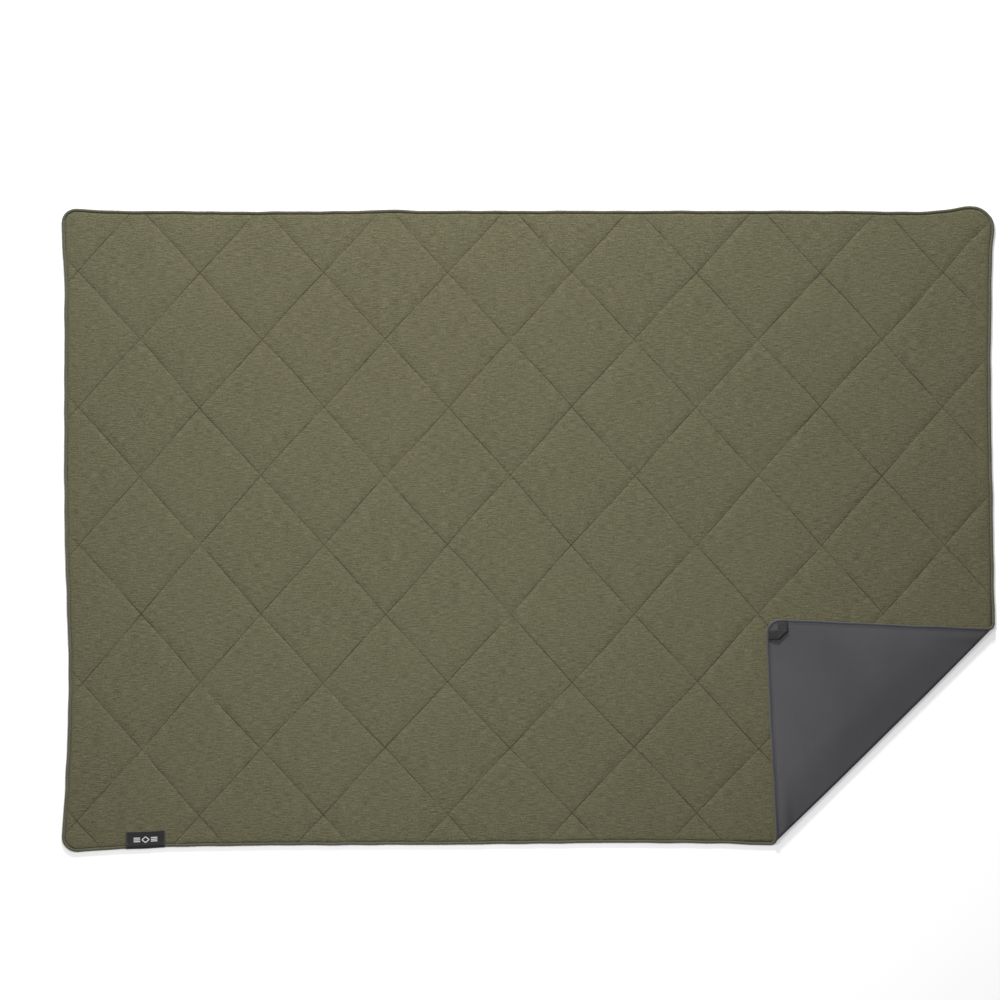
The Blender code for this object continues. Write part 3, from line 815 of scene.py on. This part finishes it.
arc = np.linspace(0, math.pi / 2, 22)
route = []
for quarter, (side_x, side_y) in enumerate(((1, 1), (-1, 1), (-1, -1), (1, -1))):
    middle = np.array([side_x * (HALF_LENGTH - CORNER_RADIUS), side_y * (HALF_WIDTH - CORNER_RADIUS)])
    angle = arc + quarter * math.pi / 2
    route.append(middle + (CORNER_RADIUS - PIPING_CENTRE) * np.stack([np.cos(angle), np.sin(angle)], 1))
corners = np.concatenate(route + [route[0][:1]])
path = []
for start, end in zip(corners[:-1], corners[1:]):
    pieces = max(1, round(np.linalg.norm(end - start) / PIPING_STEP))
    path.append(start + (end - start) * (np.arange(pieces) / pieces)[:, None])
path = np.concatenate(path)
travel = np.concatenate([[0], np.cumsum(np.linalg.norm(np.diff(path, axis=0), axis=1))])
bent_x, bent_y = draw_in(*path.T)
lift = PIPING_LIFT + 0.00015 * sway(travel, (0.061, 0.093), 41)
centre = np.stack(wrap_fold(bent_x, bent_y, lift, 0.0), 1)
tangent = np.roll(centre, -1, 0) - np.roll(centre, 1, 0)
tangent /= np.linalg.norm(tangent, axis=1)[:, None]
side = np.zeros_like(centre)
side[0] = np.cross(tangent[0], (0, 0, 1))
for i in range(1, len(centre)):
    side[i] = side[i - 1] - tangent[i] * (side[i - 1] @ tangent[i])
    side[i] /= np.linalg.norm(side[i])
up = np.cross(tangent, side)
last = side[-1] - tangent[0] * (side[-1] @ tangent[0])
slip = math.atan2(last @ up[0], last @ side[0])
around = np.linspace(0, 2 * math.pi, PIPING_SIDES, endpoint=False)[None, :]
angle = around - slip * (travel / travel[-1])[:, None]
gathered = sway(travel, (0.0085, 0.0125, 0.019), 42)[:, None]
swell = PIPING_RADIUS + GATHER * gathered * (1 + 0.4 * np.cos(around * 2))
ring = (centre[:, None] + swell[..., None] * (np.cos(angle)[..., None] * side[:, None]
                                              + np.sin(angle)[..., None] * up[:, None]))
count = len(centre)
here = np.arange(count)[:, None] * PIPING_SIDES + np.arange(PIPING_SIDES)[None, :]
ahead = np.roll(here, -1, 0)
faces = np.stack([here, np.roll(here, -1, 1), np.roll(ahead, -1, 1), ahead], -1).reshape(-1, 4)
pattern = np.stack(np.broadcast_arrays(travel[:, None], PIPING_RADIUS * around), -1).reshape(-1, 2)
piping_mesh = cloth_mesh("piping", ring.reshape(-1, 3), faces[:, ::-1], pattern)

piping_finish = Finish("olive piping strip", roughness=0.84, sheen_weight=0.2, sheen_roughness=0.5)
bias = piping_finish.add("ShaderNodeTexWave", {"wave_type": "BANDS", "bands_direction": "DIAGONAL"},
                         {"Vector": piping_finish.cloth(), "Scale": 300.0, "Distortion": 1.0, "Detail": 1.0,
                          "Detail Scale": 30.0}, 1)
streaks = piping_finish.noise(piping_finish.cloth((300, 300, 1)), 1.0, 2.0, 0.6)
blotches = piping_finish.noise(piping_finish.cloth((16, 40, 1)), 1.0, 2.0, 0.6)
strip = piping_finish.mix(piping_finish.stretch(streaks, 0.35, 0.65, 0, 1), (0.084, 0.083, 0.048, 1),
                          (0.145, 0.140, 0.088, 1))
strip = piping_finish.mix(piping_finish.stretch(blotches, 0.35, 0.7, 0, 0.4), strip, (0.060, 0.058, 0.034, 1))
piping_finish.feed(base_color=strip, normal=piping_finish.bump(bias * 0.5 + streaks, 0.0004, 0.6))
piping = put("piping", piping_mesh, piping_finish)
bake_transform(piping)
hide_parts("piping_sleeve", "piping_cord", "piping_sleeve_corner", "piping_cord_corner")

# a row of topstitching holds the backing's rolled rim, on its outside face
ROW_INSET, ROW_STEP = 0.0104, 0.004
ROW_STITCHES = (0.0036, 0.0029, 0.0004)   # spacing, length and thickness
stay_lines, turned_lines = [], []
row_x = np.arange(ROW_INSET - HALF_LENGTH, HALF_LENGTH - ROW_INSET, ROW_STEP)
row_y = np.arange(ROW_INSET - HALF_WIDTH, HALF_WIDTH - ROW_INSET, ROW_STEP)
for line_x, line_y in ((row_x, ROW_INSET - HALF_WIDTH), (row_x, HALF_WIDTH - ROW_INSET),
                       (ROW_INSET - HALF_LENGTH, row_y), (HALF_LENGTH - ROW_INSET, row_y)):
    flat = np.broadcast_arrays(np.asarray(line_x, float), np.asarray(line_y, float))
    z = backing_lift(inset_of(*flat)) - 0.00012
    x, y = draw_in(*round_corners(*flat))
    beyond = fold_distance(x, y)
    for part, lines in ((beyond < -0.012, stay_lines), (beyond > 0.012, turned_lines)):
        groups = np.split(np.arange(len(x))[part], np.where(np.diff(np.arange(len(x))[part]) > 1)[0] + 1)
        for group in groups:
            if len(group) > 2:
                line = np.stack([x[group], y[group], z[group]])
                lines.append(np.stack(line if lines is stay_lines else turn_over(*line), 1))
slate_thread = Finish("slate thread", base_color=(0.055, 0.056, 0.062, 1), roughness=0.6)
sew("topstitching", stay_lines, slate_thread, "blanket", "coated_backing", *ROW_STITCHES)
sew("topstitching_corner", turned_lines, slate_thread, "corner", "coated_backing", *ROW_STITCHES)


# ---- Label ----
# A black woven tag with a moulded border, sewn over the front edge near the left corner. It lies on the
# cover, crosses the seam groove and bends over the piping. Its mark is a plain diamond between short bars.
LABEL_LEFT, LABEL_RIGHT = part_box("label")[0].x - 0.003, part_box("label")[1].x + 0.002
LABEL_DEPTH = 0.0368
LABEL_BORDER, LABEL_EDGE, BORDER_RISE = 0.0030, 0.0009, 0.0007
LABEL_LINES = (64, 46)
LABEL_THICKNESS = 0.0007
# the label's cross section: inset from the blanket's edge, and height over the cover there
label_section = np.array([(LABEL_DEPTH, 0.0), (0.030, 0.0), (0.022, 0.0), (0.016, 0.00005),
                          (0.0115, 0.0003), (0.0080, 0.0011), (0.0052, 0.0014), (0.0028, 0.0009),
                          (0.0009, -0.0006), (0.0001, -0.0026), (0.0002, -0.0042)])
section_run = np.concatenate([[0], np.cumsum(np.linalg.norm(np.diff(label_section, axis=0), axis=1))])
LABEL_RUN = section_run[-1]


def section_at(run):
    """Inset and height of the label's cross section at a run from its inner end."""
    return [np.interp(run, section_run, label_section[:, i]) for i in (0, 1)]


def label_point(x, run, height):
    """A point on the label: x along the edge, run from its inner end outwards, height off its face."""
    step, blur = 0.0006, 0.001
    before, here, after = (section_at(run + shift) for shift in (-blur, 0, blur))
    inset, drop = ((before[i] + here[i] + after[i]) / 3 for i in (0, 1))
    ahead, behind = section_at(run + step), section_at(run - step)
    lean_in, lean_up = (ahead[i] - behind[i] for i in (0, 1))
    size = np.maximum(np.hypot(lean_in, lean_up), 1e-9)
    inset, drop = inset + lean_up / size * height, drop - lean_in / size * height
    y = inset - HALF_WIDTH
    cover = 0.0064 + 0.0010 * ease((inset - 0.012) / 0.03)
    new_x, new_y = draw_in(x + 0 * y, y)
    return np.stack(np.broadcast_arrays(new_x, new_y, cover + drop + 0.00045 + 0 * x), -1)


share_x, share_run = (np.linspace(0, 1, lines) for lines in LABEL_LINES)
width = LABEL_RIGHT - LABEL_LEFT
from_side = np.minimum(share_x, 1 - share_x)[:, None] * width
from_end = np.minimum(share_run, 1 - share_run)[None, :] * LABEL_RUN
rim = np.minimum(from_side, from_end)
raise_border = ease(rim / LABEL_EDGE) * (1 - ease((rim - LABEL_BORDER + LABEL_EDGE) / LABEL_EDGE))
border_bend = BORDER_RISE * raise_border
sheet = label_point((LABEL_LEFT + width * share_x)[:, None], LABEL_RUN * share_run[None, :], border_bend)
pattern = np.stack(np.broadcast_arrays(width * share_x[:, None], LABEL_RUN * share_run[None, :]), -1)
label_mesh = cloth_mesh("label_tag", sheet.reshape(-1, 3), grid_quads(*LABEL_LINES)[:, ::-1],
                        pattern.reshape(-1, 2))
note_values(label_mesh, "border", raise_border)
label_finish = Finish("black label", roughness=0.55, coat_roughness=0.4)
border = label_finish.add("ShaderNodeAttribute", {"attribute_name": "border"}, {}, 2)
field = label_finish.add("ShaderNodeTexWave", {"wave_type": "BANDS", "bands_direction": "Y"},
                         {"Vector": label_finish.cloth(), "Scale": 500.0, "Distortion": 1.0}, 1)
rough = label_finish.noise(label_finish.cloth(), 900.0, 2.0)
black = label_finish.mix(field, (0.006, 0.006, 0.007, 1), (0.013, 0.013, 0.014, 1))
black = label_finish.mix(border, black, (0.045, 0.046, 0.050, 1))
label_finish.feed(base_color=black, roughness=label_finish.stretch(border, 0, 1, 0.7, 0.45),
                  normal=label_finish.bump(field * (1 - border) + rough * 0.5, 0.0002, 0.6))
label = put("label_tag", label_mesh, label_finish)
set_solid(label, LABEL_THICKNESS)
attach(label, "blanket")
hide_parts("label")

MARK_RISE, MARK_SINK, MARK_X, MARK_RUN = 0.00035, -0.0002, (LABEL_LEFT + LABEL_RIGHT) / 2, 0.0185
MARK_REACH, HALF_STROKE, MARK_STEPS = 0.0062, 0.0010, 12
BAR_START, BAR_END, BAR_PITCH = 0.0115, 0.0255, 0.0038
mark_points, mark_faces = [], []


def mark_strip(x1, run1, x2, run2):
    """One white bar of the mark, between two points on the label's face."""
    t = np.linspace(0, 1, MARK_STEPS)
    x, run = x1 + (x2 - x1) * t, run1 + (run2 - run1) * t
    size = math.hypot(x2 - x1, run2 - run1)
    over_x, over_run = -(run2 - run1) / size * HALF_STROKE, (x2 - x1) / size * HALF_STROKE
    base = len(mark_points)
    for side, height in ((-1, MARK_SINK), (-1, MARK_RISE), (1, MARK_RISE), (1, MARK_SINK)):
        row = label_point(x + side * over_x, run + side * over_run, np.full(MARK_STEPS, height))
        mark_points.extend(row.tolist())
    for row in range(4):
        for i in range(MARK_STEPS - 1):
            a, b = base + row * MARK_STEPS + i, base + (row + 1) % 4 * MARK_STEPS + i
            mark_faces.append((a, a + 1, b + 1, b))
    mark_faces.append(tuple(base + row * MARK_STEPS for row in range(4)))
    mark_faces.append(tuple(base + row * MARK_STEPS + MARK_STEPS - 1 for row in reversed(range(4))))


tips = [(MARK_X - 1.25 * MARK_REACH, MARK_RUN), (MARK_X, MARK_RUN - MARK_REACH),
        (MARK_X + 1.25 * MARK_REACH, MARK_RUN), (MARK_X, MARK_RUN + MARK_REACH)]
for i in range(4):
    mark_strip(*tips[i], *tips[(i + 1) % 4])
for side in (-1, 1):
    for rise in (-BAR_PITCH, 0, BAR_PITCH):
        mark_strip(MARK_X + side * BAR_START, MARK_RUN + rise, MARK_X + side * BAR_END, MARK_RUN + rise)
mark_mesh = bpy.data.meshes.new("label_mark")
mark_mesh.from_pydata(mark_points, [], mark_faces)
edit = bmesh.new()
edit.from_mesh(mark_mesh)
bmesh.ops.recalc_face_normals(edit, faces=edit.faces)
edit.to_mesh(mark_mesh)
edit.free()
mark_finish = Finish("white print", base_color=(0.72, 0.72, 0.71, 1), roughness=0.5)
mark = put("label_mark", mark_mesh, mark_finish)
mark_mesh.shade_flat()
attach(mark, "blanket")
